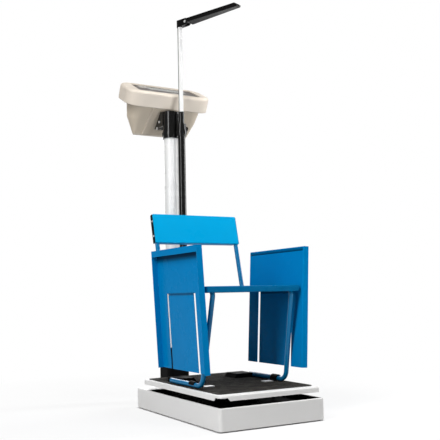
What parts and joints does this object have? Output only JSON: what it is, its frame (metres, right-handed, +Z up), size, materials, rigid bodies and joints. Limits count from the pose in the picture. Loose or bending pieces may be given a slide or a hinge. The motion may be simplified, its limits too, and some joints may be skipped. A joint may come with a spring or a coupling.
{
  "type": "column scale with child seat",
  "caption": "Platform scale with a column display head, a telescopic height gauge with a folding arm, and a child's chair with side panels clamped on the mat.",
  "frame": {"origin": "bottom centre of the whole object's box, on the floor", "axes": "+Z up, -Y the way the child faces, +X to the right of someone who looks at the front"},
  "size_m": [0.319, 0.6372, 1.131],
  "materials": {
    "white_paint": "satin powder coat",
    "blue_paint": "smooth enamel",
    "panel_paint": "smooth enamel",
    "black_paint": "satin",
    "black_plastic": "moulded",
    "head_plastic": "fine moulded grain",
    "display_face": "semi-gloss film",
    "window": "clear lens",
    "mat_rubber": "ribbed",
    "bright_steel": "zinc plated",
    "cell_alloy": "milled",
    "board": "solder mask",
    "lcd": "matt",
    "key_light": "matt",
    "key_dark": "matt",
    "battery_wrap": "shrink sleeve",
    "foot_rubber": "matt"
  },
  "bodies": {
    "base": {"base_shell": "white_paint", "base_plate": "black_paint", "base_frame": "black_paint", "inner_deck": "black_paint", "deck_pillars": "bright_steel", "levelling_feet": "foot_rubber", "foot_locknuts": "bright_steel", "load_cell": "cell_alloy", "cell_lower_spacer": "bright_steel", "load_cell_bolts": "bright_steel", "overload_stops": "bright_steel", "column_foot": "black_plastic", "column_foot_bolts": "bright_steel", "column_tube": "white_paint", "head_bracket": "black_plastic", "bracket_bolts": "bright_steel", "head_bezel": "head_plastic", "head_rear_shell": "head_plastic", "display_panel": "display_face", "display_window": "window", "lcd_module": "lcd", "main_board": "board", "key_switches": "key_dark", "battery_pack": "battery_wrap", "gauge_guide": "black_paint", "gauge_collar": "black_plastic", "guide_end_plug": "black_plastic", "gauge_clip_lower": "black_plastic", "gauge_clip_upper": "black_plastic"},
    "platform": {"platform_tray": "white_paint", "platform_mat": "mat_rubber", "platform_spider": "black_paint", "cell_upper_spacer": "bright_steel", "chair_frame_left": "blue_paint", "chair_frame_right": "blue_paint", "tube_end_plugs": "black_plastic", "seat_cross_bars": "panel_paint", "seat_pan": "panel_paint", "backrest_panel": "blue_paint", "side_panel_left": "panel_paint", "side_panel_right": "panel_paint", "panel_spacers": "black_plastic", "chair_clamps": "black_plastic", "clamp_plates": "bright_steel"},
    "middle_tube": {"middle_tube": "black_paint"},
    "height_rod": {"height_rod": "white_paint"},
    "arm_knuckle": {"arm_knuckle": "black_plastic", "arm_pin": "bright_steel"},
    "measuring_arm": {"measuring_arm": "black_plastic"},
    "lock_knob": {"lock_knob": "black_plastic"},
    "key_1": {"key_1": "key_dark"},
    "key_2": {"key_2": "key_dark"},
    "key_3": {"key_3": "key_light"},
    "key_4": {"key_4": "key_dark"},
    "power_key": {"power_key": "key_light"}
  },
  "joints": [
    {"name": "platform_press", "type": "slide", "parent": "base", "child": "platform", "axis": [0, 0, 1], "range_m": [-0.0015, 0], "stiffness_N_per_m": 100000, "springref_m": 0.0012, "deforming": ["load_cell"]},
    {"name": "middle_slide", "type": "slide", "parent": "base", "child": "middle_tube", "axis": [0, 0, 1], "range_m": [-0.03, 0.3]},
    {"name": "rod_slide", "type": "slide", "parent": "middle_tube", "child": "height_rod", "axis": [0, 0, 1], "range_m": [-0.23, 0.16]},
    {"name": "arm_swing", "type": "hinge", "parent": "height_rod", "child": "arm_knuckle", "pos_m": [0.017, 0.17138, 1.1105], "axis": [0, 0, 1], "range_deg": [-75, 33]},
    {"name": "arm_fold", "type": "hinge", "parent": "arm_knuckle", "child": "measuring_arm", "pos_m": [0.02758, 0.14438, 1.12025], "axis": [0.9311, 0.3649, 0], "range_deg": [0, 80]},
    {"name": "lock_turn", "type": "hinge", "parent": "base", "child": "lock_knob", "pos_m": [0.017, 0.17138, 0.801], "axis": [0.9063, 0.4226, 0], "range_deg": [0, 360]},
    {"name": "key_1_press", "type": "slide", "parent": "base", "child": "key_1", "axis": [0, 0.4648, -0.8854], "range_m": [0, 0.001], "stiffness_N_per_m": 1500, "springref_m": -0.0004},
    {"name": "key_2_press", "type": "slide", "parent": "base", "child": "key_2", "axis": [0, 0.4648, -0.8854], "range_m": [0, 0.001], "stiffness_N_per_m": 1500, "springref_m": -0.0004},
    {"name": "key_3_press", "type": "slide", "parent": "base", "child": "key_3", "axis": [0, 0.4648, -0.8854], "range_m": [0, 0.001], "stiffness_N_per_m": 1500, "springref_m": -0.0004},
    {"name": "key_4_press", "type": "slide", "parent": "base", "child": "key_4", "axis": [0, 0.4648, -0.8854], "range_m": [0, 0.001], "stiffness_N_per_m": 1500, "springref_m": -0.0004},
    {"name": "power_key_press", "type": "slide", "parent": "base", "child": "power_key", "axis": [0, 0.4648, -0.8854], "range_m": [0, 0.001], "stiffness_N_per_m": 1500, "springref_m": -0.0004}
  ]
}
